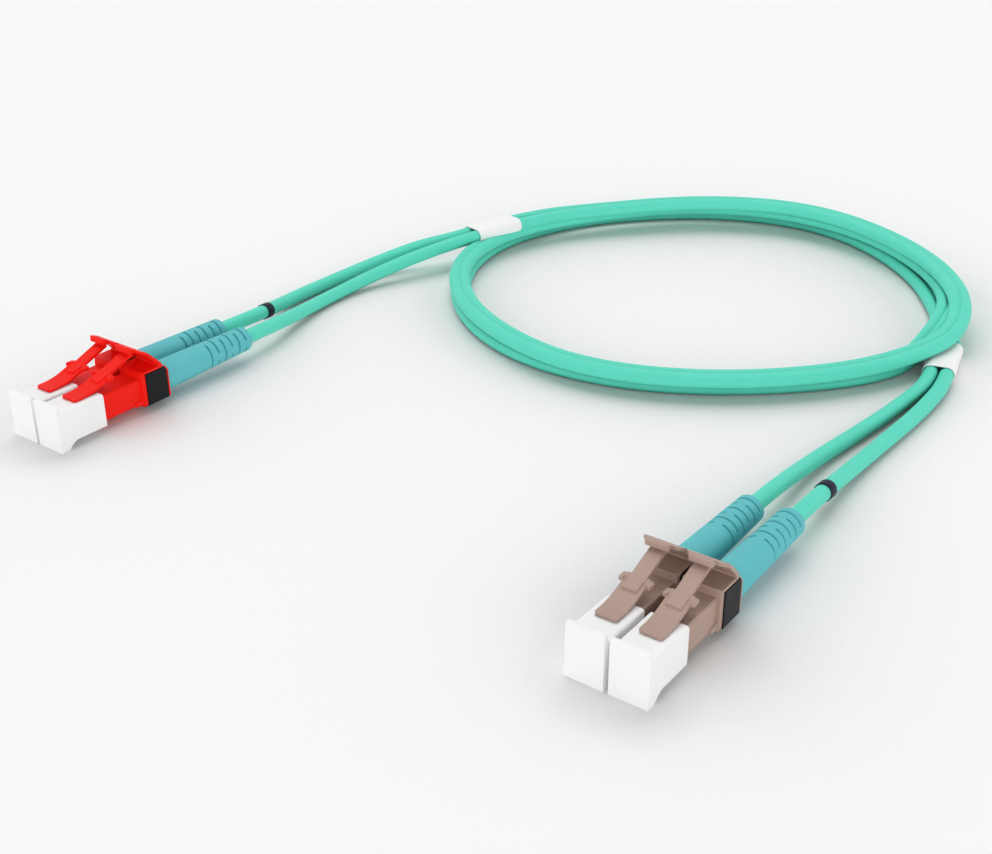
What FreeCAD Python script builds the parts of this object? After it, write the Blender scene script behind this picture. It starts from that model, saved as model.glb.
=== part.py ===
import FreeCAD, Part
import math
import os
from FreeCAD import Vector

# LC to LC duplex fibre patch cord: two duplex plugs with dust caps, boots and clips,
# four single legs, two leg sleeves and a coil of twin cord. Millimetres, +Z up, floor at z = 0.
# A plug points along -Y, its cord leaves along +Y, and +X is the plug's right-hand side.
# Sizes and routes count Y from the face of the near plug's dust caps. The finished pieces are
# then shifted so that the origin lies on the floor under the middle of the near plug.

# ---- driving dimensions -------------------------------------------------------------------
pitch = 6.25                # centre distance of the two fibres in a duplex plug
axis_height = 4.06          # ferrule axis above the floor
far_plug_x = -107.75        # where the second plug lies, beside the first
far_plug_y = 0.93

nose_width = 4.52           # square nose of the plug housing
nose_chamfer = 0.22
nose_front = 3.3            # front face of the housing, behind the dust cap's face
collar_front = 17.2
collar_length = 0.8
collar_lip = 0.5            # how far the collar stands out of the nose's sides
collar_corner = 0.9

cap_wall = 0.46
cap_fit = 0.05              # sliding clearance between nose and dust cap
cap_length = 9.2
cap_face = 0.72             # thickness of the dust cap's front plate
cap_lip = 1.15              # how far the front plate stands above the cap's top
cap_foot = 1.66             # length of the foot under the front plate
cap_curve_end = 3.65        # where the foot's hollow curve runs into the underside
cap_edge = 0.4

latch_front = 4.5
latch_pivot = 6.6           # the latch rocks here, over the post on the nose
latch_half = 1.645
latch_thick = 0.4
latch_lift = 0.1            # air between the latch arm and the dust cap's top
latch_pin = 0.35            # radius of the bead under the latch that seats in the post
latch_chamfer = 0.3
ramp_start = 5.8            # the flat tip bends up here
ramp_run = 3.9              # length over which it bends
ramp_angle = 20.0
spine_half = 1.13           # narrow upper tier of the latch arm
spine_front = 9.86
spine_step = 0.33           # height of its front step above the wide tier
spine_thick = 0.6
spine_overlap = 1.2         # how far the arm reaches in under the trigger's bar
lug_front = 11.05
lug_length = 1.3
lug_half = 2.33
lug_height = 0.6
root_half = 1.2             # post that carries the latch through the dust cap's slot
post_front = 1.1            # how far the post reaches in front of the pivot
post_rear = 0.85
slot_clearance = 0.15

trigger_reach = 3.3         # from the collar back to the trigger's hinge
trigger_plate = 0.4         # thickness of the fixed plate under the trigger
trigger_wall = 0.45
trigger_half = 2.86
trigger_corner = 1.0
ridge_back = 2.46           # the trigger folds forward this far in front of its hinge
ridge_rise = 3.2            # and this high above the fixed plate
bar_half = 1.74             # half width of the finger bar at the trigger's front
bar_reach = 5.3             # from the hinge forward to the finger bar's front
bar_rise = 4.45             # top of the finger bar above the fixed plate
bar_chamfer = 0.35
knuckle = 0.36
hinge_gap = 0.06
latch_clearance = 0.12      # air between the trigger and the arm that it presses

clip_fit = 0.05
clip_side = 0.64            # wall of the duplex clip beside each plug
clip_floor = 0.4
clip_length = 4.45
clip_gap = 0.05
clip_corner = 0.8
flange_thick = 0.2
flange_drop = 0.3           # the rear flange stands this much lower than the clip's top

ferrule_radius = 0.625
ferrule_tip = 1.45
ferrule_length = 6.5
fibre_seat = 0.08
well_radius = 1.5
seat_front = 4.6
seat_rear = 5.2
seat_radius = 0.75
bore_radius = 1.75
flange_radius = 1.35
flange_head = 1.95
flange_tail_radius = 0.8
flange_tail_end = 10.5
spring_radius = 1.2         # mean radius of the spring's coils
spring_wire = 0.17
spring_turns = 6
spring_end = 13.0
buffer_radius = 0.45
buffer_start = 9.3
fit = 0.03                  # assembly clearance of the turned pieces

rear_body_radius = bore_radius - fit
rear_rim_radius = 1.95
rear_rim_length = 1.5
barrel_radius = 1.35
barrel_end = 29.0
crimp_wall = 0.25
crimp_end = 30.5

boot_radius_front = 2.66
boot_radius_rear = 2.2
boot_end = 43.5
boot_round = 0.6
boot_rows = 6
boot_first_row = 33.05
boot_row_pitch = 1.68
boot_slot = 0.38
boot_web = 0.28             # wall left between a slot and the boot's bore
boot_slot_angle = 148.0

strand = 2.6                # outside diameter of one leg of the cord
strand_gap = 0.04           # air between the two legs where they lie side by side
twin_spacing = 1.5          # centre distance of the two strands where they are joined
boot_fit = 0.06
leg_start = 39.0            # a leg's bends begin here, still inside the boot

sleeve_length = 11.5
sleeve_wall = 0.16
sleeve_fit = 0.06
near_sleeve_x = 0.25        # middle of the near sleeve's mouth
near_sleeve_y = 107.6
near_sleeve_heading = 103.0
far_sleeve_heading = 77.0
marker_length = 2.1
marker_wall = 0.12
marker_fit = 0.03

coil_centre = Vector(-51.9, 118.6, 0)
coil_radius = 46.6          # centre line of the twin cord in the coil
coil_oval = 1.8             # the coil is a little longer across one diagonal
coil_layer = 2.0            # height that each turn adds, pressed a little into the one below
coil_layers_low = 2         # layers all the way round
coil_layers_high = 3        # layers on the far and right-hand side
coil_inset = 0.12           # the third layer and the exit stand in from the sides below them
coil_high_start = -22.0
coil_high_end = 186.0
coil_lead_start = 160.0     # from here the upper layer swings out to the far sleeve
coil_lead = 3.4
coil_exit_angle = 20.0      # where the lowest layer turns out to the near sleeve
coil_arcs = 20

# routes of the four legs, from inside the boot to the end of the leg sleeve
leg_routes = {
    "near_left": [
        (-3.125, 39.0, 4.06), (-3.125, 46.4, 4.06), (-3.26, 53.9, 3.38), (-3.56, 61.7, 2.2),
        (-3.3, 69.6, 1.44), (-2.27, 77.6, 1.31), (-1.2, 85.7, 1.32), (-0.4, 94.0, 1.38),
        (0.11, 102.33, 1.5), (-1.739, 110.523, 1.52), (-3.623, 118.508, 1.52)],
    "near_right": [
        (3.125, 39.0, 4.06), (3.125, 44.8, 4.06), (2.95, 51.2, 3.7), (2.54, 59.4, 2.7),
        (2.28, 66.7, 1.82), (2.36, 73.9, 1.4), (2.65, 81.2, 1.31), (2.98, 88.5, 1.32),
        (3.0, 95.7, 1.38), (2.683, 102.93, 1.5), (0.833, 111.121, 1.52), (-1.051, 119.102, 1.52)],
    "far_left": [
        (-110.875, 39.93, 4.06), (-110.875, 46.0, 4.06), (-111.6, 53.4, 3.5), (-113.75, 61.8, 2.27),
        (-115.6, 69.5, 1.4), (-115.7, 77.4, 1.34), (-114.55, 85.0, 1.95), (-112.0, 92.0, 3.2),
        (-108.6, 98.3, 4.7), (-104.461, 104.715, 5.52), (-102.666, 112.668, 5.55),
        (-100.839, 120.402, 5.55)],
    "far_right": [
        (-104.625, 39.93, 4.06), (-104.625, 46.8, 4.06), (-105.75, 54.2, 3.4), (-107.95, 61.4, 2.2),
        (-109.75, 68.9, 1.4), (-110.35, 76.5, 1.36), (-109.6, 84.0, 2.1), (-107.4, 90.9, 3.4),
        (-104.5, 97.5, 4.75), (-101.889, 104.121, 5.52), (-100.094, 112.074, 5.55),
        (-98.267, 119.808, 5.55)],
}
# run of each leg that carries the black end marker
marker_runs = {"near_right": 3, "far_left": 3}

# ---- derived sizes ------------------------------------------------------------------------
nose_half = nose_width / 2
collar_rear = collar_front + collar_length
trigger_hinge_y = collar_rear + trigger_reach
bar_front = trigger_hinge_y - bar_reach
collar_half = nose_half + collar_lip
cap_inner = nose_half + cap_fit
cap_half = cap_inner + cap_wall
latch_under = cap_half + latch_lift
latch_top = latch_under + latch_thick
slot_half = root_half + slot_clearance
slot_front = latch_front + 0.35
clip_front = collar_rear + clip_gap
clip_rear = clip_front + clip_length
clip_inner = nose_half + clip_fit
clip_half_x = pitch / 2 + clip_inner + clip_side
clip_bottom = -(clip_inner + clip_floor)
plate_bottom = clip_inner + 0.74 + clip_gap
clip_top = plate_bottom - clip_gap
plate_top = plate_bottom + trigger_plate
flange_front = clip_rear + clip_gap
flange_half = clip_inner + clip_side - 0.02
housing_rear = flange_front + flange_thick
bar_top = plate_top + bar_rise
bar_under = bar_top - 0.95
spring_start = seat_rear + flange_head + fit
boot_front = housing_rear + fit
boot_bore = strand / 2 + boot_fit
strand_offset = (strand + strand_gap) / 2
cord_half = (twin_spacing + strand) / 2
sleeve_half_height = strand / 2 + sleeve_fit + sleeve_wall
sleeve_half_width = strand_offset + sleeve_half_height
near_sleeve_mouth = Vector(near_sleeve_x, near_sleeve_y, sleeve_half_height)
far_sleeve_end = Vector(*leg_routes["far_left"][-1]).add(Vector(*leg_routes["far_right"][-1])) * 0.5


# ---- shape helpers ------------------------------------------------------------------------
def prism_along_x(points, half):
    """Solid with the side outline points (y, z), from -half to half along X."""
    corners = [Vector(-half, y, z) for y, z in points]
    face = Part.Face(Part.makePolygon(corners + corners[:1]))
    return face.extrude(Vector(2 * half, 0, 0))


def prism_along_z(points, low, high):
    """Solid with the plan outline points (x, y), from low to high along Z."""
    corners = [Vector(x, y, low) for x, y in points]
    face = Part.Face(Part.makePolygon(corners + corners[:1]))
    return face.extrude(Vector(0, 0, high - low))


def block(x0, x1, y0, y1, z0, z1):
    return Part.makeBox(x1 - x0, y1 - y0, z1 - z0, Vector(x0, y0, z0))


def turned(points):
    """Solid of revolution about the plug's axis from the outline points (radius, y)."""
    corners = [Vector(r, y, 0) for r, y in points]
    face = Part.Face(Part.makePolygon(corners + corners[:1]))
    return face.revolve(Vector(0, 0, 0), Vector(0, 1, 0), 360)


def rod(radius, y0, y1):
    return Part.makeCylinder(radius, y1 - y0, Vector(0, y0, 0), Vector(0, 1, 0))


def cross_pin(radius, half, y, z):
    """Cylinder across the plug, along X."""
    return Part.makeCylinder(radius, 2 * half, Vector(-half, y, z), Vector(1, 0, 0))


def rounded_bar(half, low, high, y0, y1, top_radius, bottom_radius):
    """Bar along Y with a rectangular section whose top and bottom corners are rounded."""
    body = block(-half, half, y0, y1, low, high)
    top = [e for e in body.Edges if runs_along_y(e) and e.CenterOfMass.z > high - 0.01]
    body = body.makeFillet(top_radius, top)
    bottom = [e for e in body.Edges if runs_along_y(e) and e.CenterOfMass.z < low + 0.01]
    return body.makeFillet(bottom_radius, bottom)


def runs_along_y(edge):
    a, b = edge.Vertexes[0].Point, edge.Vertexes[-1].Point
    return abs(a.x - b.x) < 1e-6 and abs(a.z - b.z) < 1e-6 and abs(a.y - b.y) > 1e-6


def runs_along_x(edge):
    a, b = edge.Vertexes[0].Point, edge.Vertexes[-1].Point
    return abs(a.y - b.y) < 1e-6 and abs(a.z - b.z) < 1e-6 and abs(a.x - b.x) > 1e-6


# ---- one half of a duplex plug, with its axis on the Y axis -------------------------------
def housing():
    nose = block(-nose_half, nose_half, nose_front, flange_front, -nose_half, nose_half)
    long_edges = [e for e in nose.Edges if runs_along_y(e)]
    nose = nose.makeChamfer(nose_chamfer, long_edges)
    front = [e for e in nose.Edges if abs(e.CenterOfMass.y - nose_front) < 1e-3]
    nose = nose.makeChamfer(nose_chamfer * 0.8, front)
    collar = rounded_bar(collar_half, -collar_half, plate_top, collar_front, collar_rear,
                         collar_corner, collar_corner * 0.4)
    flange = rounded_bar(flange_half, clip_bottom, clip_top - flange_drop, flange_front,
                         housing_rear, clip_corner, clip_corner * 0.5)
    body = nose.fuse([collar, flange, trigger_base(), latch_post(), key_tabs()])
    for radius, y0, y1 in ((well_radius, nose_front - 1, seat_front),
                           (seat_radius, seat_front - 1, seat_rear + 1),
                           (bore_radius, seat_rear, housing_rear + 1)):
        body = body.cut(rod(radius, y0, y1))
    return body.removeSplitter()


def key_tabs():
    """Small blocks low on both sides in front of the collar."""
    length, height = 1.5, 0.8
    y0 = collar_front - length
    tab = block(-nose_half - 0.3, nose_half + 0.3, y0, collar_front + 0.1,
                -nose_half, -nose_half + height)
    return tab


def trigger_base():
    """Fixed plate over the duplex clip, hollowed at the rear for the trigger's knuckle."""
    plate = block(-trigger_half, trigger_half, collar_front + 0.1, trigger_hinge_y,
                  plate_bottom, plate_top)
    seat = cross_pin(knuckle + hinge_gap, 2 * trigger_half, trigger_hinge_y, plate_bottom + knuckle)
    return plate.cut(seat)


def latch_post():
    """Post on the nose that carries the latch, grooved for the bead under it."""
    top = latch_under - hinge_gap - latch_lift
    post = block(-root_half, root_half, latch_pivot - post_front, latch_pivot + post_rear,
                 nose_half - 0.2, top)
    return post.cut(cross_pin(latch_pin + hinge_gap, 2 * root_half, latch_pivot, latch_under))


def ramp_top(y):
    """Height of the wide tier's top behind its bend."""
    slope = math.tan(math.radians(ramp_angle))
    bend = ramp_run * math.tan(math.radians(ramp_angle) / 2)
    return latch_top + bend + slope * (y - ramp_start - ramp_run)


def wide_tier():
    """Flat tip that bends up into the ramp, as one strip of even thickness."""
    a = math.radians(ramp_angle)
    rear = lug_front + lug_length
    outward = Vector(0, math.sin(a), -math.cos(a)) * latch_thick
    radius = ramp_run / math.sin(a)
    centre = Vector(0, ramp_start, latch_top + radius)

    def bend_point(reach, angle):
        return centre + Vector(0, math.sin(angle), -math.cos(angle)) * reach

    low = radius + latch_thick
    top_end, low_end = Vector(0, rear, ramp_top(rear)), Vector(0, rear, ramp_top(rear)) + outward
    tip_top, tip_low = Vector(0, latch_front, latch_top), Vector(0, latch_front, latch_under)
    bends = [Part.Arc(bend_point(r, 0), bend_point(r, a / 2), bend_point(r, a)).toShape()
             for r in (radius, low)]
    lines = [Part.makeLine(*ends) for ends in (
        (tip_top, bend_point(radius, 0)), (bend_point(radius, a), top_end), (top_end, low_end),
        (low_end, bend_point(low, a)), (bend_point(low, 0), tip_low), (tip_low, tip_top))]
    face = Part.Face(Part.Wire(Part.__sortEdges__(lines + bends)))
    strip = face.extrude(Vector(2 * latch_half, 0, 0)).translated(Vector(-latch_half, 0, 0))
    c = latch_chamfer
    plan = [(-latch_half, latch_front + c), (-latch_half + c, latch_front),
            (latch_half - c, latch_front), (latch_half, latch_front + c),
            (latch_half, rear + 1), (-latch_half, rear + 1)]
    return strip.common(prism_along_z(plan, 0, bar_top))


def latch():
    """Latch that locks the plug: flat tip, wide ramp with shoulder lugs, narrow upper arm."""
    lug_rear = lug_front + lug_length
    step_top = ramp_top(spine_front) + spine_step
    knee_top = ramp_top(lug_rear) + 0.12
    rear = bar_front + spine_overlap
    rear_top = bar_under - latch_clearance
    spine = prism_along_x([
        (spine_front, step_top - spine_thick * 0.8), (lug_rear - 0.2, knee_top - spine_thick),
        (rear, rear_top - spine_thick), (rear, rear_top), (lug_rear, knee_top),
        (spine_front, step_top)], spine_half)
    upper = [e for e in spine.Edges if abs(e.CenterOfMass.x) > spine_half - 0.01
             and e.Length > 4 and e.CenterOfMass.z > knee_top + 0.6]
    spine = spine.makeFillet(0.15, upper)
    middle = lug_front + lug_length / 2
    lug_z = ramp_top(middle) - latch_thick / 2
    lug = block(-lug_half, lug_half, lug_front, lug_rear, lug_z - lug_height / 2, lug_z + lug_height / 2)
    lug = lug.makeFillet(0.27, [e for e in lug.Edges if abs(e.CenterOfMass.x) > lug_half - 0.01])
    bead = cross_pin(latch_pin, root_half, latch_pivot, latch_under)
    return wide_tier().fuse([spine, lug, bead]).removeSplitter()


def trigger_outline():
    """Side outline of the trigger: up from the hinge to the ridge, forward to the finger bar
    and back along the underside."""
    h, low, front, top = trigger_hinge_y, plate_top, bar_front, bar_top
    ridge, crest = h - ridge_back, low + ridge_rise
    wall = trigger_wall
    return [
        (h + knuckle * 0.95, low), (h + 0.22, low + 0.5),
        (ridge + 0.12, crest - 0.12), (ridge - 0.14, crest + 0.06),
        (front + 1.35, bar_under + 0.42), (front + 1.2, bar_under + 0.24),
        (front + 1.0, bar_under + 0.55), (front + 0.55, top), (front + 0.1, top - 0.12),
        (front, top - 0.35), (front, top - 0.8), (front + 0.15, bar_under),
        (front + 1.15, bar_under), (ridge - 0.14 - wall * 0.43, crest + 0.06 - wall * 0.9),
        (ridge + 0.12 - wall * 0.71, crest - 0.12 - wall * 0.71), (h - 0.27, low + 0.22),
        (h - knuckle * 0.6, low - 0.1)]


def trigger():
    """Anti-snag trigger: a folded plate that presses the latch, wide at its ridge and
    narrowed to the finger bar in front."""
    profile = prism_along_x(trigger_outline(), trigger_half)
    wing_front = bar_front + 1.3
    wing = block(-trigger_half, trigger_half, wing_front, trigger_hinge_y + 2, 0, bar_top + 1)
    corners = [e for e in wing.Edges if abs(e.CenterOfMass.y - wing_front) < 1e-3
               and abs(e.CenterOfMass.x) > trigger_half - 0.01]
    wing = wing.makeFillet(trigger_corner, corners)
    c = bar_chamfer
    bar = prism_along_z([(-bar_half, bar_front + c), (-bar_half + c, bar_front),
                         (bar_half - c, bar_front), (bar_half, bar_front + c),
                         (bar_half, wing_front + 0.2), (-bar_half, wing_front + 0.2)], 0, bar_top + 1)
    body = profile.common(wing.fuse(bar))
    pin = cross_pin(knuckle, trigger_half, trigger_hinge_y, plate_bottom + knuckle)
    return body.fuse(pin).removeSplitter()


def dust_cap():
    floor = -axis_height
    side = [Vector(0, 0, floor), Vector(0, cap_foot, floor)]
    rise = -cap_half - floor
    run = cap_curve_end - cap_foot
    radius = (run * run + rise * rise) / (2 * rise)
    angle = math.atan2(run, radius - rise) / 2
    middle = Vector(0, cap_curve_end - radius * math.sin(angle),
                    -cap_half - radius + radius * math.cos(angle))
    end = Vector(0, cap_curve_end, -cap_half)
    edges = [Part.makeLine(side[0], side[1]), Part.Arc(side[1], middle, end).toShape()]
    chain = [end, Vector(0, cap_length, -cap_half), Vector(0, cap_length, cap_half),
             Vector(0, cap_face, cap_half), Vector(0, cap_face, cap_half + cap_lip),
             Vector(0, cap_face * 0.25, cap_half + cap_lip), Vector(0, 0, cap_half + cap_lip - 0.12),
             side[0]]
    edges += [Part.makeLine(a, b) for a, b in zip(chain, chain[1:])]
    face = Part.Face(Part.Wire(edges))
    face.translate(Vector(-cap_half, 0, 0))
    body = face.extrude(Vector(2 * cap_half, 0, 0))
    shoulders = [e for e in body.Edges if runs_along_y(e) and e.Length > 4
                 and e.CenterOfMass.z > cap_half - 0.01]
    body = body.makeFillet(cap_edge, shoulders)
    cavity = block(-cap_inner, cap_inner, nose_front - 0.15, cap_length + 1, -cap_inner, cap_inner)
    nose_room = rod(well_radius - 0.1, cap_face + 0.25, nose_front)
    slot = block(-slot_half, slot_half, slot_front, cap_length + 1, 0, cap_half + 1)
    return body.cut(cavity).cut(nose_room).cut(slot)


def ferrule():
    end = ferrule_tip + ferrule_length
    bevel = 0.18
    return turned([(fibre_seat, ferrule_tip), (ferrule_radius - bevel, ferrule_tip),
                   (ferrule_radius, ferrule_tip + bevel * 2), (ferrule_radius, end),
                   (fibre_seat, end)])


def ferrule_flange():
    head_end = seat_rear + fit + flange_head
    bore = ferrule_radius + 0.01
    step = ferrule_tip + ferrule_length + 0.02
    tail_bore = buffer_radius + 0.05
    body = turned([(bore, seat_rear + fit), (seat_radius + 0.3, seat_rear + fit),
                   (flange_radius, seat_rear + fit + 0.35), (flange_radius, head_end),
                   (flange_tail_radius, head_end), (flange_tail_radius, flange_tail_end),
                   (tail_bore, flange_tail_end), (tail_bore, step), (bore, step)])
    for angle in (0, 90, 180, 270):
        notch = block(-0.18, 0.18, seat_rear, head_end - 0.5, flange_radius - 0.3, flange_radius + 1)
        notch.rotate(Vector(0, 0, 0), Vector(0, 1, 0), angle)
        body = body.cut(notch)
    return body


def spring():
    """Coil spring made of half rings, each tilted so that it climbs half a turn's pitch.
    Its wire is drawn with six flats."""
    start = spring_start + spring_wire
    length = spring_end - fit - spring_wire - start
    climb = length / (2 * spring_turns)
    rings = []
    for k in range(2 * spring_turns):
        side = 1 if k % 2 == 0 else -1
        a = Vector(-side * spring_radius, start + k * climb, 0)
        b = Vector(side * spring_radius, start + (k + 1) * climb, 0)
        corners = [a + Vector(spring_wire * math.cos(math.radians(60 * i)),
                              spring_wire * math.sin(math.radians(60 * i)), 0) for i in range(7)]
        axis = (b - a).cross(Vector(0, 0, side))
        rings.append(Part.Face(Part.makePolygon(corners)).revolve((a + b) * 0.5, axis, 180))
    return rings[0].fuse(rings[1:]).removeSplitter()


def rear_body():
    rim_start = housing_rear + fit
    bore = buffer_radius + 0.12
    return turned([(bore, spring_end), (rear_body_radius - 0.25, spring_end),
                   (rear_body_radius, spring_end + 0.4), (rear_body_radius, rim_start),
                   (rear_rim_radius, rim_start), (rear_rim_radius, rim_start + rear_rim_length),
                   (barrel_radius, rim_start + rear_rim_length), (barrel_radius, barrel_end),
                   (bore, barrel_end)])


def crimp_sleeve():
    y0 = housing_rear + 2 * fit + rear_rim_length
    inner = barrel_radius + 0.02
    outer = inner + crimp_wall
    neck = strand / 2 + 0.04
    return turned([(inner, y0), (outer, y0), (outer, crimp_end - 0.5),
                   (neck + crimp_wall, crimp_end), (neck, crimp_end),
                   (neck, barrel_end + 0.35), (inner, barrel_end + 0.05)])


def boot_radius(y):
    share = (y - boot_front) / (boot_end - boot_front)
    return boot_radius_front + share * (boot_radius_rear - boot_radius_front)


def boot():
    inner = boot_bore
    room = rear_rim_radius + fit
    sleeve_room = barrel_radius + crimp_wall + 0.05
    rim_end = housing_rear + fit + rear_rim_length
    body = turned([
        (room, boot_front), (boot_radius_front - 0.12, boot_front),
        (boot_radius_front, boot_front + 0.12),
        (boot_radius(boot_end - boot_round), boot_end - boot_round),
        (boot_radius_rear - boot_round, boot_end), (inner, boot_end),
        (inner, crimp_end + 1.2), (sleeve_room, crimp_end + 0.2), (sleeve_room, rim_end + 0.1),
        (room, rim_end + 0.1)])
    for row in range(boot_rows):
        y0 = boot_first_row + row * boot_row_pitch
        for side in (0, 180):
            body = body.cut(boot_slot_cutter(y0, side + 90 * ((row + 1) % 2)))
    return body


def boot_slot_cutter(y0, angle):
    """Ring sector that bites into the boot's wall from outside."""
    outer = boot_radius_front + 1
    inner = boot_bore + boot_web
    section = [Vector(inner, y0, 0), Vector(outer, y0, 0), Vector(outer, y0 + boot_slot, 0),
               Vector(inner, y0 + boot_slot, 0)]
    face = Part.Face(Part.makePolygon(section + section[:1]))
    cutter = face.revolve(Vector(0, 0, 0), Vector(0, 1, 0), boot_slot_angle)
    cutter.rotate(Vector(0, 0, 0), Vector(0, 1, 0), angle - boot_slot_angle / 2 - 90)
    return cutter


def buffer():
    return rod(buffer_radius, buffer_start, barrel_end)


# ---- pieces that join the two halves ------------------------------------------------------
def duplex_clip():
    body = block(-clip_half_x, clip_half_x, clip_front, clip_rear, clip_bottom, clip_top)
    rear_top = [e for e in body.Edges if runs_along_x(e)
                and abs(e.CenterOfMass.y - clip_rear) < 1e-3 and e.CenterOfMass.z > 0]
    body = body.makeFillet(clip_corner, rear_top)
    corners = [e for e in body.Edges if runs_along_y(e)]
    body = body.makeFillet(0.25, corners)
    rib_half = (pitch / 2 - trigger_half) - 0.06
    rib = block(-rib_half, rib_half, clip_front, clip_rear - 1.0, clip_top - 0.2, plate_top)
    body = body.fuse(rib)
    for x in (-pitch / 2, pitch / 2):
        pocket = block(x - clip_inner, x + clip_inner, clip_front - 1, clip_rear + 1,
                       -clip_inner, clip_inner)
        body = body.cut(pocket)
    return body.removeSplitter()


def stadium(half_width, half_height, length):
    """Bar along Y whose section is a flat oval with round ends."""
    flat = half_width - half_height
    body = block(-flat, flat, 0, length, -half_height, half_height)
    for x in (-flat, flat):
        body = body.fuse(Part.makeCylinder(half_height, length, Vector(x, 0, 0), Vector(0, 1, 0)))
    return body.removeSplitter()


def leg_sleeve():
    outer = stadium(sleeve_half_width, sleeve_half_height, sleeve_length)
    inner = stadium(sleeve_half_width - sleeve_wall, sleeve_half_height - sleeve_wall,
                    sleeve_length + 2)
    inner.translate(Vector(0, -1, 0))
    return outer.cut(inner)


def swing(shape, mouth, heading):
    """Turns a shape made along Y to a heading in degrees from +X and puts it at mouth."""
    shape.rotate(Vector(0, 0, 0), Vector(0, 0, 1), heading - 90)
    shape.translate(mouth)
    return shape


# ---- cord ---------------------------------------------------------------------------------
def leg_path(points):
    """Straight runs joined by the largest tangent arcs; returns the wire and its radii."""
    edges = []
    radii = []
    start = points[0]
    for before, corner, after in zip(points, points[1:], points[2:]):
        inward = (corner - before).normalize()
        outward = (after - corner).normalize()
        turn = inward.getAngle(outward)
        reach = 0.45 * min(corner.distanceToPoint(before), corner.distanceToPoint(after))
        radius = reach / math.tan(turn / 2)
        first = corner - inward * reach
        last = corner + outward * reach
        bisector = (outward - inward).normalize()
        middle = corner + bisector * (radius / math.cos(turn / 2) - radius)
        edges.append(Part.makeLine(start, first))
        edges.append(Part.Arc(first, middle, last).toShape())
        radii.append(radius)
        start = last
    edges.append(Part.makeLine(start, points[-1]))
    return Part.Wire(edges), radii


def leg(name):
    points = [Vector(*p) for p in leg_routes[name]]
    path, radii = leg_path(points)
    radius = strand / 2
    circle = Part.Wire(Part.makeCircle(radius, points[0], points[1] - points[0]))
    tube = path.makePipeShell([circle], True, False)
    expected = math.pi * radius * radius * path.Length
    print(f"{name} leg: {path.Length:.1f} mm, tightest radius {min(radii):.1f} mm, "
          f"volume {tube.Volume:.1f} of {expected:.1f} mm3")
    inside = barrel_end + 0.4
    straight = Part.makeCylinder(radius, leg_start - inside,
                                 points[0] - Vector(0, leg_start - inside, 0), Vector(0, 1, 0))
    return tube.fuse(straight).removeSplitter()


def marker(name):
    points = [Vector(*p) for p in leg_routes[name]]
    a, b = points[marker_runs[name] - 1], points[marker_runs[name]]
    along = (b - a).normalize()
    centre = (a + b) * 0.5
    inner = strand / 2 + marker_fit
    base = centre - along * (marker_length / 2)
    ring = Part.makeCylinder(inner + marker_wall, marker_length, base, along)
    return ring.cut(Part.makeCylinder(inner, marker_length, base, along))


def coil_edge(angle, offset, lead=0.0):
    """Point of the coil's plan at an angle in degrees, offset outward from its centre line.
    The upper layers swing out by up to lead where the cord comes in from the far sleeve."""
    a = math.radians(angle)
    swing_out = lead * max(0.0, (angle - coil_lead_start) / (coil_high_end - coil_lead_start)) ** 2
    radius = coil_radius + coil_oval * math.sin(2 * a) + offset + swing_out
    return coil_centre + Vector(radius * math.cos(a), radius * math.sin(a), 0)


def coil_arc(start, end, offset, count, lead=0.0):
    step = (end - start) / count
    return [Part.Arc(coil_edge(start + k * step, offset, lead),
                     coil_edge(start + (k + 0.5) * step, offset, lead),
                     coil_edge(start + (k + 1) * step, offset, lead)).toShape()
            for k in range(count)]


def coil_band(start, end, low, high, half, lead=0.0):
    """Part of the coil between two angles, with half its width on each side."""
    count = coil_arcs // 2
    outer = coil_arc(start, end, half, count, lead)
    inner = coil_arc(end, start, -half, count, lead)
    across = Part.makeLine(coil_edge(end, half, lead), coil_edge(end, -half, lead))
    back = Part.makeLine(coil_edge(start, -half, lead), coil_edge(start, half, lead))
    band = Part.Face(Part.Wire(outer + [across] + inner + [back])).extrude(Vector(0, 0, high - low))
    return band.translated(Vector(0, 0, low))


def coil_exit():
    """The lowest layer runs out under the coil to the near leg sleeve."""
    half = cord_half - coil_inset
    a = math.radians(near_sleeve_heading)
    along = Vector(math.cos(a), math.sin(a), 0)
    end = near_sleeve_mouth + along * sleeve_length
    end.z = 0
    start = coil_edge(coil_exit_angle, 0)
    across = (start - coil_centre).normalize()
    side = Vector(along.y, -along.x, 0)
    a = math.radians(coil_exit_angle)
    back = Vector(-math.sin(a), math.cos(a), 0)
    edges = []
    corners = []
    for shift in (-half, half):
        curve = Part.BezierCurve()
        first, last = start + across * shift, end + side * shift
        reach = first.distanceToPoint(last) / 3
        curve.setPoles([first, first - back * reach, last + along * reach, last])
        edges.append(curve.toShape())
        corners.append((first, last))
    edges.append(Part.makeLine(corners[0][0], corners[1][0]))
    edges.append(Part.makeLine(corners[0][1], corners[1][1]))
    face = Part.Face(Part.Wire(Part.__sortEdges__(edges)))
    return face.extrude(Vector(0, 0, strand))


def cord_coil():
    """Outer shape of the coiled twin cord: two layers all round, three on the far side."""
    low = coil_layers_low * coil_layer
    high = coil_layers_high * coil_layer
    half = cord_half
    top = coil_band(coil_high_start, coil_high_end, low, high, half - coil_inset, coil_lead)
    body = coil_band(0, 180, 0, low, half).fuse([coil_band(180, 360, 0, low, half), top, coil_exit()])
    room = sleeve_half_width + fit
    for mouth, heading, z0, z1 in (
            (near_sleeve_mouth, near_sleeve_heading, -1, 2 * sleeve_half_height + fit),
            (far_sleeve_mouth(), far_sleeve_heading, low, high + 1)):
        pocket = block(-room, room, -20, sleeve_length + fit, z0 - mouth.z, z1 - mouth.z)
        body = body.cut(swing(pocket, mouth, heading))
    return body.removeSplitter()


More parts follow.
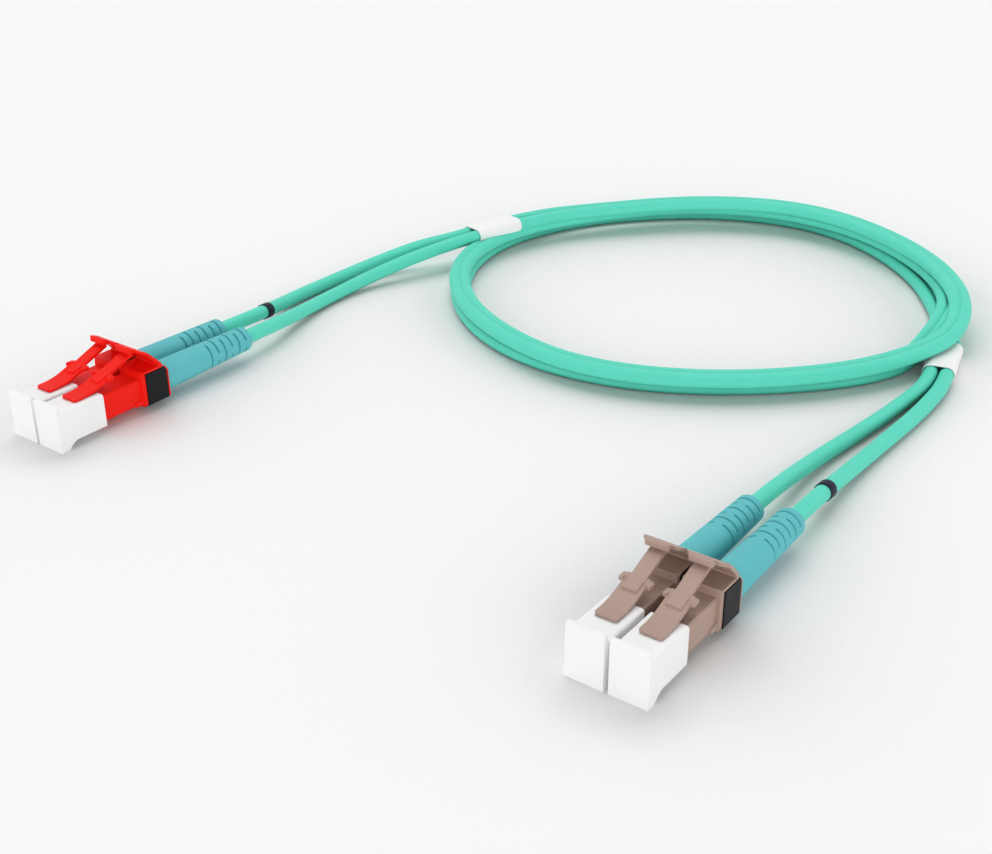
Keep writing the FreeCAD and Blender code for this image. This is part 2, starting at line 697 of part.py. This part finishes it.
def far_sleeve_mouth():
    """The far sleeve lies on the lower layers and ends where its two legs end."""
    a = math.radians(far_sleeve_heading)
    mouth = far_sleeve_end - Vector(math.cos(a), math.sin(a), 0) * sleeve_length
    return Vector(mouth.x, mouth.y, coil_layers_low * coil_layer + sleeve_half_height + fit)


# ---- assembly -----------------------------------------------------------------------------
def build():
    half_plug = {
        "housing": housing(), "latch": latch(), "trigger": trigger(), "dust_cap": dust_cap(),
        "ferrule": ferrule(), "ferrule_flange": ferrule_flange(), "spring": spring(),
        "rear_body": rear_body(), "crimp_sleeve": crimp_sleeve(), "boot": boot(),
        "buffer": buffer()}
    clip = duplex_clip()
    nodes = {}
    for end, x, y in (("near", 0.0, 0.0), ("far", far_plug_x, far_plug_y)):
        for side, shift in (("left", -pitch / 2), ("right", pitch / 2)):
            for piece, shape in half_plug.items():
                nodes[f"{end}_{side}_{piece}"] = shape.translated(
                    Vector(x + shift, y, axis_height))
            nodes[f"{end}_{side}_leg"] = leg(f"{end}_{side}")
        nodes[f"{end}_clip"] = clip.translated(Vector(x, y, axis_height))
    nodes["near_sleeve"] = swing(leg_sleeve(), near_sleeve_mouth, near_sleeve_heading)
    nodes["far_sleeve"] = swing(leg_sleeve(), far_sleeve_mouth(), far_sleeve_heading)
    nodes["near_marker"] = marker("near_right")
    nodes["far_marker"] = marker("far_left")
    nodes["cord_coil"] = cord_coil()
    origin = Vector(0, boot_end / 2, 0)
    return {name: shape.translated(-origin) for name, shape in nodes.items()}


os.makedirs("parts", exist_ok=True)
for name, shape in build().items():
    shape.exportStep(f"parts/{name}.step")
    solids = len(shape.Solids)
    print(f"{name}: {solids} solid, valid {shape.isValid()}, {shape.Volume:.2f} mm3")
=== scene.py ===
import math

import bmesh
import bpy
from mathutils import Matrix, Vector


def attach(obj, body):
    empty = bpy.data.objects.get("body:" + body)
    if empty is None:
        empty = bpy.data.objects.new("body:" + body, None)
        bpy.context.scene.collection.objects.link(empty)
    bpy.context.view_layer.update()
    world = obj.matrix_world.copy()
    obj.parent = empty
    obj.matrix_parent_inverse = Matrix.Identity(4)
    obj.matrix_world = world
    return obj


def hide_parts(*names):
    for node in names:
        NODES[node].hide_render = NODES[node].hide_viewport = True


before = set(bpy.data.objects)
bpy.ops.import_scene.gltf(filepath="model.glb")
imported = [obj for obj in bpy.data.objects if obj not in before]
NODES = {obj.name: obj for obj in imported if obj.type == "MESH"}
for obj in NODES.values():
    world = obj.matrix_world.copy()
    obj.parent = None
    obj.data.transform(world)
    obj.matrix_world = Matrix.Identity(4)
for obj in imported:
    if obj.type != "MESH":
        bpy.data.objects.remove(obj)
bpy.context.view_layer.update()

MM = 0.001
PLUG_HALF = 21.75           # the origin lies this far behind the dust caps' face, mm
PITCH = 6.25                # between the two connectors of a plug
PLUGS = {"near": (0.0, 0.0), "far": (-107.75, 0.93)}
ROOT = "cord_set"
scene = bpy.context.scene


def at(x, y, z):
    """A point counted from the near dust caps' face in millimetres, in the row frame."""
    return Vector((x, y - PLUG_HALF, z)) * MM


def link(name, data):
    made = bpy.data.objects.new(name, data)
    scene.collection.objects.link(made)
    return made


# ---- camera -------------------------------------------------------------------------------
camera = link("camera", bpy.data.cameras.new("camera"))
camera.data.sensor_width = 36.0
camera.data.lens = 51.156
camera.data.clip_start = 0.01
camera.data.clip_end = 30.0
camera.location = at(69.89, -116.83, 105.29)
aim = at(-51.862, 48.699, 0.0) - camera.location
camera.rotation_euler = (aim.to_track_quat("-Z", "Y").to_matrix()
                         @ Matrix.Rotation(math.radians(-0.23), 3, "Z")).to_euler()
scene.camera = camera


# ---- material helpers ---------------------------------------------------------------------
def srgb(r, g, b):
    """Linear colour of an 8-bit sRGB one."""
    def linear(c):
        c /= 255
        return c / 12.92 if c <= 0.04045 else ((c + 0.055) / 1.055) ** 2.4
    return (linear(r), linear(g), linear(b), 1.0)


def shaded(colour, factor):
    return (*[min(1.0, c * factor) for c in colour[:3]], 1.0)


def node(tree, kind, **settings):
    made = tree.nodes.new(kind)
    for key, value in settings.items():
        if key.startswith("in_"):
            made.inputs[key[3:].replace("_", " ")].default_value = value
        else:
            setattr(made, key, value)
    return made


def noise(tree, scale, detail=3.0, rough=0.5):
    """Noise in the piece's own coordinates; scale counts features per metre."""
    where = node(tree, "ShaderNodeTexCoord")
    made = node(tree, "ShaderNodeTexNoise", in_Scale=scale, in_Detail=detail, in_Roughness=rough)
    tree.links.new(where.outputs["Object"], made.inputs["Vector"])
    return made.outputs["Fac"]


def ramp(tree, source, stops):
    made = node(tree, "ShaderNodeValToRGB")
    elements = made.color_ramp.elements
    for k, (where, colour) in enumerate(stops):
        element = elements[k] if k < 2 else elements.new(where)
        element.position = where
        element.color = colour
    tree.links.new(source, made.inputs["Fac"])
    return made.outputs["Color"]


def grey(value):
    return (value, value, value, 1.0)


def moulded(name, colour, rough, grain, bump, spread, coat=0.0, metal=0.0, specular=0.5):
    """Moulded or turned surface: faint colour drift, uneven gloss and a fine grain."""
    made = bpy.data.materials.new(name)
    made.use_nodes = True
    tree = made.node_tree
    shader = tree.nodes["Principled BSDF"]
    drift = ramp(tree, noise(tree, 260.0), [(0.3, shaded(colour, 1 - spread)),
                                            (0.7, shaded(colour, 1 + spread * 0.6))])
    tree.links.new(drift, shader.inputs["Base Color"])
    gloss = ramp(tree, noise(tree, 900.0, 4.0), [(0.25, grey(rough - 0.06)),
                                                 (0.75, grey(rough + 0.06))])
    tree.links.new(gloss, shader.inputs["Roughness"])
    surface = node(tree, "ShaderNodeBump", in_Strength=bump, in_Distance=0.00004)
    tree.links.new(noise(tree, grain, 5.0, 0.6), surface.inputs["Height"])
    tree.links.new(surface.outputs["Normal"], shader.inputs["Normal"])
    shader.inputs["Metallic"].default_value = metal
    shader.inputs["Specular IOR Level"].default_value = specular
    shader.inputs["Coat Weight"].default_value = coat
    return made


def painted_contact_shade(material, reach, darkest):
    """Paints shade into a material's colour in the narrow grooves where two pieces touch, by
    ambient occlusion; reach is in metres.
    """
    tree = material.node_tree
    base = tree.nodes["Principled BSDF"].inputs["Base Color"]
    plain = base.links[0].from_socket
    near = node(tree, "ShaderNodeAmbientOcclusion", samples=8)
    near.inputs["Distance"].default_value = reach
    level = ramp(tree, near.outputs["AO"], [(0.1, grey(darkest)), (0.62, grey(1.0))])
    mixed = node(tree, "ShaderNodeMix", data_type="RGBA", blend_type="MULTIPLY")
    mixed.inputs[0].default_value = 1.0
    tree.links.new(plain, mixed.inputs[6])
    tree.links.new(level, mixed.inputs[7])
    tree.links.new(mixed.outputs[2], base)


AQUA = srgb(97, 219, 195)
TEAL = srgb(99, 190, 196)
BEIGE = srgb(176, 150, 138)
RED = srgb(244, 30, 18)
WHITE = srgb(245, 245, 245)
BLACK = srgb(24, 24, 27)
NAVY = srgb(27, 33, 50)

jacket = moulded("jacket_aqua", AQUA, 0.5, 2600.0, 0.08, 0.015, specular=0.12)
# painted shade: the jacket's colour darkens in the grooves where the coil's turns touch
painted_contact_shade(jacket, 0.0035, 0.32)
boot_rubber = moulded("boot_teal", TEAL, 0.6, 4200.0, 0.18, 0.02, specular=0.12)
housing_near = moulded("housing_beige", BEIGE, 0.45, 5200.0, 0.12, 0.02, specular=0.14)
housing_far = moulded("housing_red", RED, 0.45, 5200.0, 0.12, 0.02, specular=0.1)
cap_white = moulded("cap_white", WHITE, 0.55, 3600.0, 0.08, 0.01, specular=0.12)
clip_black = moulded("clip_black", BLACK, 0.5, 4800.0, 0.2, 0.08, specular=0.14)
marker_navy = moulded("marker_navy", NAVY, 0.5, 4800.0, 0.12, 0.05, specular=0.14)
zirconia = moulded("zirconia", srgb(244, 242, 236), 0.14, 9000.0, 0.02, 0.01, coat=0.3)
nickel = moulded("nickel", srgb(196, 194, 188), 0.28, 7000.0, 0.08, 0.03, metal=1.0)
wire = moulded("spring_wire", srgb(182, 182, 184), 0.22, 9000.0, 0.05, 0.02, metal=1.0)
crimp = moulded("crimp_metal", srgb(205, 203, 196), 0.36, 6000.0, 0.15, 0.03, metal=1.0)
buffer_white = moulded("buffer_white", srgb(236, 236, 234), 0.4, 5000.0, 0.05, 0.01)


# ---- cords --------------------------------------------------------------------------------
STRAND = 2.6                # diameter of one strand of the cord, mm
TWIN_OFFSET = 0.75          # half the distance between the two joined strands
SLEEVE_OFFSET = 1.32        # the same where they part inside the sleeves
COIL_CENTRE = (-51.9, 118.6)
LEG_ROUTES = {
    "near_left": [
        (-3.125, 39.0, 4.06), (-3.125, 46.4, 4.06), (-3.26, 53.9, 3.38), (-3.56, 61.7, 2.2),
        (-3.3, 69.6, 1.44), (-2.27, 77.6, 1.31), (-1.2, 85.7, 1.32), (-0.4, 94.0, 1.38),
        (0.11, 102.33, 1.5), (-1.739, 110.523, 1.52), (-3.623, 118.508, 1.52)],
    "near_right": [
        (3.125, 39.0, 4.06), (3.125, 44.8, 4.06), (2.95, 51.2, 3.7), (2.54, 59.4, 2.7),
        (2.28, 66.7, 1.82), (2.36, 73.9, 1.4), (2.65, 81.2, 1.31), (2.98, 88.5, 1.32),
        (3.0, 95.7, 1.38), (2.683, 102.93, 1.5), (0.833, 111.121, 1.52), (-1.051, 119.102, 1.52)],
    "far_left": [
        (-110.875, 39.93, 4.06), (-110.875, 46.0, 4.06), (-111.6, 53.4, 3.5),
        (-113.75, 61.8, 2.27), (-115.6, 69.5, 1.4), (-115.7, 77.4, 1.34), (-114.55, 85.0, 1.95),
        (-112.0, 92.0, 3.2), (-108.6, 98.3, 4.7), (-104.461, 104.715, 5.52),
        (-102.666, 112.668, 5.55), (-100.839, 120.402, 5.55)],
    "far_right": [
        (-104.625, 39.93, 4.06), (-104.625, 46.8, 4.06), (-105.75, 54.2, 3.4),
        (-107.95, 61.4, 2.2), (-109.75, 68.9, 1.4), (-110.35, 76.5, 1.36), (-109.6, 84.0, 2.1),
        (-107.4, 90.9, 3.4), (-104.5, 97.5, 4.75), (-101.889, 104.121, 5.52),
        (-100.094, 112.074, 5.55), (-98.267, 119.808, 5.55)],
}
COIL_START = 9.0            # degrees, counted on through the turns
COIL_END = 886.0
COIL_POINTS = 89


def blend_between(value, table):
    """Smooth value between the (position, amount) rows of a table."""
    if value <= table[0][0]:
        return table[0][1]
    for (a, low), (b, high) in zip(table, table[1:]):
        if value <= b:
            t = (value - a) / (b - a)
            t = t * t * (3 - 2 * t)
            return low + (high - low) * t
    return table[-1][1]


def smooth_through(value, table):
    """Amount at a value, on the smooth line through every (position, amount) row of a table."""
    rows = [table[0]] + list(table) + [table[-1]]
    for (p, low), (a, start), (b, end), (q, high) in zip(rows, rows[1:], rows[2:], rows[3:]):
        if value <= b:
            t = max(0.0, (value - a) / (b - a))
            lead_in = (end - low) / (b - p) * (b - a)
            lead_out = (high - start) / (q - a) * (b - a)
            return (start + t * lead_in + t * t * (3 * (end - start) - 2 * lead_in - lead_out)
                    + t ** 3 * (2 * (start - end) + lead_in + lead_out))
    return table[-1][1]


def coil_radius(angle):
    """Distance of the twin cord's middle from the coil's, at an angle that counts on through
    the turns: a rounded outline that all the turns share, and how far each strays from it."""
    a = math.radians(angle)
    outline = (46.63 + 0.46 * math.cos(2 * a) + 1.72 * math.sin(2 * a) + 0.55 * math.cos(3 * a)
               - 0.69 * math.sin(3 * a) + 0.99 * math.cos(4 * a) + 0.38 * math.sin(4 * a))
    first_turn = [(9, -1.8), (24, -3.25), (39, -2.4), (54, -1.3), (70, -0.15), (90, 1.6),
                  (110, 2.8), (130, 4.3), (150, 4.7), (162, 3.8), (176, 2.3), (195, 0.4),
                  (215, -0.4), (250, 0.1), (280, -0.3), (338, -0.3)]
    inside_the_near_sleeve = [(346, -0.9), (355, -2.5), (362, -2.9), (370, -2.5), (380, -1.9)]
    second_turn = [(390, -1.3), (402, -1.0), (420, -0.9), (450, -1.2), (470, -0.7), (490, 0.4),
                   (515, 0.1), (570, -0.2), (600, 0.2), (615, 0.7), (630, 1.7), (650, 2.1),
                   (670, 2.2), (690, 1.6)]
    over_the_near_sleeve = [(704, 1.2), (718, 1.2), (730, 0.4)]
    top_turn = [(746, -1.1), (765, -1.7), (785, -2.5), (810, -3.2), (830, -3.8), (850, -3.1),
                (866, -2.1), (886, -0.2)]
    return outline + smooth_through(
        angle, first_turn + inside_the_near_sleeve + second_turn + over_the_near_sleeve + top_turn)


def coil_height(angle):
    """Height of the twin cord's middle: on the floor, then on the turn below."""
    on_the_floor = [(0, 1.4), (14, 1.3), (300, 1.3), (344, 1.3)]
    first_climb = [(352, 1.4), (358, 2.2), (364, 3.4), (371, 3.95)]
    second_turn = [(385, 3.85), (420, 3.8), (600, 3.8), (680, 3.8), (698, 3.9)]
    second_climb = [(708, 4.25), (720, 4.35), (728, 5.0), (736, 6.0)]
    top_turn = [(746, 6.3), (765, 6.15), (785, 6.0), (800, 6.0), (850, 5.9), (872, 5.5),
                (886, 5.45)]
    return smooth_through(angle,
                          on_the_floor + first_climb + second_turn + second_climb + top_turn)


def twin_offset(angle):
    return blend_between(angle, [(0, SLEEVE_OFFSET), (24, TWIN_OFFSET), (866, TWIN_OFFSET),
                                 (896, SLEEVE_OFFSET)])


def coil_points(side):
    """Control points of one strand, a little outside the line so that the spline meets it."""
    step = (COIL_END - COIL_START) / (COIL_POINTS - 1)
    reach = 1 / (0.75 + 0.25 * math.cos(math.radians(step)))
    points = []
    for k in range(COIL_POINTS):
        angle = COIL_START + k * step
        radius = (coil_radius(angle) + side * twin_offset(angle)) * reach
        a = math.radians(angle)
        points.append((COIL_CENTRE[0] + radius * math.cos(a),
                       COIL_CENTRE[1] + radius * math.sin(a), coil_height(angle)))
    return points


def spline_object(name, points, radius_mm):
    """Round cord on a smooth line with these control points, in millimetres."""
    data = bpy.data.curves.new(name, "CURVE")
    data.dimensions = "3D"
    data.resolution_u = 8
    data.bevel_depth = radius_mm * MM
    data.bevel_resolution = 5
    data.use_fill_caps = True
    line = data.splines.new("NURBS")
    line.points.add(len(points) - 1)
    for where, target in zip(points, line.points):
        target.co = (*at(*where), 1.0)
    line.order_u = 3
    line.use_endpoint_u = True
    return link(name, data)


inner_route = LEG_ROUTES["near_left"] + coil_points(-1) + LEG_ROUTES["far_right"][::-1]
outer_route = LEG_ROUTES["near_right"] + coil_points(1) + LEG_ROUTES["far_left"][::-1]
inner_strand = spline_object("strand_inner", inner_route, STRAND / 2)
outer_strand = spline_object("strand_outer", outer_route, STRAND / 2)


def line_length(made):
    """Length of a curve's own line in metres."""
    plain = made.data.copy()
    plain.bevel_depth = 0.0
    probe = bpy.data.objects.new("probe", plain)
    mesh = bpy.data.meshes.new_from_object(probe)
    total = sum((mesh.vertices[e.vertices[0]].co - mesh.vertices[e.vertices[1]].co).length
                for e in mesh.edges)
    bpy.data.objects.remove(probe)
    bpy.data.meshes.remove(mesh)
    bpy.data.curves.remove(plain)
    return total


for strand, near, far, extra in (
        (inner_strand, "near_left", "far_right", ["far_clip", "far_sleeve", "near_sleeve"]),
        (outer_strand, "near_right", "far_left", ["far_marker", "near_marker"])):
    strand.data.materials.append(jacket)
    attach(strand, ROOT)
    nodes = [near + "_leg", far + "_leg"] + (["cord_coil"] if strand is inner_strand else [])
    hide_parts(*nodes)
    length = line_length(strand)
    print(f"{strand.name} is {length * 1000:.1f} mm long")


# ---- CAD nodes ----------------------------------------------------------------------------
LUG_BAR_BOX = (2.28, 2.45, 1.0)     # what lies on the narrow tier between the two lugs, mm
LUG_BAR_START = (9.9, 8.422)        # y and height of the box's front lower edge
LUG_BAR_TILT = 15.6
LUG_ROOT_BOX = (0.5, 1.6, 1.0)      # what joins each round lug to the narrow tier
LUG_ROOT_START = (10.9, 8.475)
LUG_ROOT_TILT = 20.0
LUG_ROOT_OUT = 1.4


def box_cut(tree, solid, size, corner, tilt):
    """Takes a tilted box away; its front lower edge is centred on the corner, in millimetres."""
    box = tree.nodes.new("GeometryNodeMeshCube")
    box.inputs["Size"].default_value = Vector(size) * MM
    place = tree.nodes.new("GeometryNodeTransform")
    half = Matrix.Rotation(tilt, 3, "X") @ Vector((0, size[1] / 2, size[2] / 2))
    place.inputs["Translation"].default_value = at(*(Vector(corner) + half))
    place.inputs["Rotation"].default_value = (tilt, 0, 0)
    tree.links.new(box.outputs["Mesh"], place.inputs["Geometry"])
    cut = tree.nodes.new("GeometryNodeMeshBoolean")
    cut.operation = "DIFFERENCE"
    cut.solver = "EXACT"
    tree.links.new(solid, cut.inputs["Mesh 1"])
    tree.links.new(place.outputs["Geometry"], cut.inputs["Mesh 2"])
    return cut.outputs["Mesh"]


def trim_lugs(piece, x, y):
    """Lets the latch's narrow tier run on unbroken between its two shoulder lugs."""
    tree = bpy.data.node_groups.new(piece.name + "_trim", "GeometryNodeTree")
    tree.interface.new_socket("Geometry", in_out="INPUT", socket_type="NodeSocketGeometry")
    tree.interface.new_socket("Geometry", in_out="OUTPUT", socket_type="NodeSocketGeometry")
    solid = tree.nodes.new("NodeGroupInput").outputs[0]
    solid = box_cut(tree, solid, LUG_BAR_BOX, (x, y + LUG_BAR_START[0], LUG_BAR_START[1]),
                    math.radians(LUG_BAR_TILT))
    for side in (-1, 1):
        corner = (x + side * LUG_ROOT_OUT, y + LUG_ROOT_START[0], LUG_ROOT_START[1])
        solid = box_cut(tree, solid, LUG_ROOT_BOX, corner, math.radians(LUG_ROOT_TILT))
    tree.links.new(solid, tree.nodes.new("NodeGroupOutput").inputs[0])
    piece.modifiers.new("trim", "NODES").node_group = tree


BEVEL_ANGLE = 32.0          # edges sharper than this are softened, degrees


def finish_node(name, material, width):
    """Gives a CAD node its material and softly rounded edges."""
    piece = NODES[name]
    mesh = piece.data
    mesh.materials.clear()
    mesh.materials.append(material)
    if "custom_normal" in mesh.attributes:
        mesh.attributes.remove(mesh.attributes["custom_normal"])
    mesh.polygons.foreach_set("use_smooth", [True] * len(mesh.polygons))
    weld = piece.modifiers.new("weld", "WELD")
    weld.merge_threshold = 5e-7
    if name.endswith("_latch"):
        end, side = name.split("_")[:2]
        x, y = PLUGS[end]
        trim_lugs(piece, x + PITCH / 2 * (1 if side == "right" else -1), y)
    if width:
        bevel = piece.modifiers.new("bevel", "BEVEL")
        bevel.width = width * MM
        bevel.segments = 2
        bevel.limit_method = "ANGLE"
        bevel.angle_limit = math.radians(BEVEL_ANGLE)
    piece.modifiers.new("normals", "WEIGHTED_NORMAL")


FINISHES = {                # material, and the width of the softened edges in millimetres
    "latch": (None, 0.06), "trigger": (None, 0.07), "housing": (None, 0.05),
    "dust_cap": (cap_white, 0.07), "boot": (boot_rubber, 0.05), "clip": (clip_black, 0.05),
    "ferrule": (zirconia, 0.0), "ferrule_flange": (nickel, 0.02), "spring": (wire, 0.0),
    "rear_body": (nickel, 0.03), "crimp_sleeve": (crimp, 0.0), "buffer": (buffer_white, 0.0),
    "sleeve": (cap_white, 0.04), "marker": (marker_navy, 0.03),
}
for name in NODES:
    if name.endswith("_leg") or name == "cord_coil":
        continue
    key = max((k for k in FINISHES if name.endswith("_" + k)), key=len)
    material, width = FINISHES[key]
    if material is None:
        material = housing_near if name.startswith("near") else housing_far
    finish_node(name, material, width)


# ---- floor and light ----------------------------------------------------------------------
def floor_material():
    """White floor with painted shadow: the camera sees it a little greyer near whatever stands on
    it.
    """
    made = bpy.data.materials.new("floor")
    made.use_nodes = True
    tree = made.node_tree
    shader = tree.nodes["Principled BSDF"]
    # painted shadow: ambient occlusion greys the floor's colour near the pieces, for camera rays
    # only
    near = node(tree, "ShaderNodeAmbientOcclusion", samples=8)
    near.inputs["Distance"].default_value = 0.06
    depth = node(tree, "ShaderNodeMath", operation="POWER")
    tree.links.new(near.outputs["AO"], depth.inputs[0])
    depth.inputs[1].default_value = 1.7
    shade = ramp(tree, depth.outputs[0], [(0.0, grey(0.92)), (0.3, grey(0.82)), (0.7, grey(0.75)),
                                          (0.86, grey(0.82)), (1.0, grey(0.945))])
    seen = node(tree, "ShaderNodeLightPath")
    colour = node(tree, "ShaderNodeMix", data_type="RGBA")
    colour.inputs[6].default_value = grey(0.93)
    tree.links.new(seen.outputs["Is Camera Ray"], colour.inputs[0])
    tree.links.new(shade, colour.inputs[7])
    tree.links.new(colour.outputs[2], shader.inputs["Base Color"])
    shader.inputs["Roughness"].default_value = 0.9
    shader.inputs["Specular IOR Level"].default_value = 0.0
    return made


floor_mesh = bpy.data.meshes.new("floor")
grid = bmesh.new()
bmesh.ops.create_grid(grid, x_segments=2, y_segments=2, size=12.0)
grid.to_mesh(floor_mesh)
grid.free()
floor = link("floor", floor_mesh)
floor.location = (0, 0, -0.00002)
floor_mesh.materials.append(floor_material())


def sky(bright, dim):
    """World that is brighter near the horizon than overhead, the same all the way round."""
    world = bpy.data.worlds.new("world")
    world.use_nodes = True
    tree = world.node_tree
    where = node(tree, "ShaderNodeTexCoord")
    split = node(tree, "ShaderNodeSeparateXYZ")
    tree.links.new(where.outputs["Generated"], split.inputs[0])
    level = ramp(tree, split.outputs["Z"], [(0.1, grey(1.0)), (0.42, grey(dim / bright))])
    back = tree.nodes["Background"]
    tree.links.new(level, back.inputs["Color"])
    back.inputs["Strength"].default_value = bright
    return world


def soft_sun(name, direction, spread, strength):
    """Distant light from a direction, spread in degrees so that its shadows are soft."""
    data = bpy.data.lights.new(name, "SUN")
    data.angle = math.radians(spread)
    data.energy = strength
    made = link(name, data)
    made.rotation_euler = Vector(direction).to_track_quat("Z", "Y").to_euler()
    return made


scene.world = sky(1.5, 0.34)
soft_sun("overhead", (-0.28, 0.3, 1.0), 58, 1.72)
soft_sun("front_fill", (0.7, -1.0, 0.34), 40, 0.8)

scene.view_settings.view_transform = "Standard"
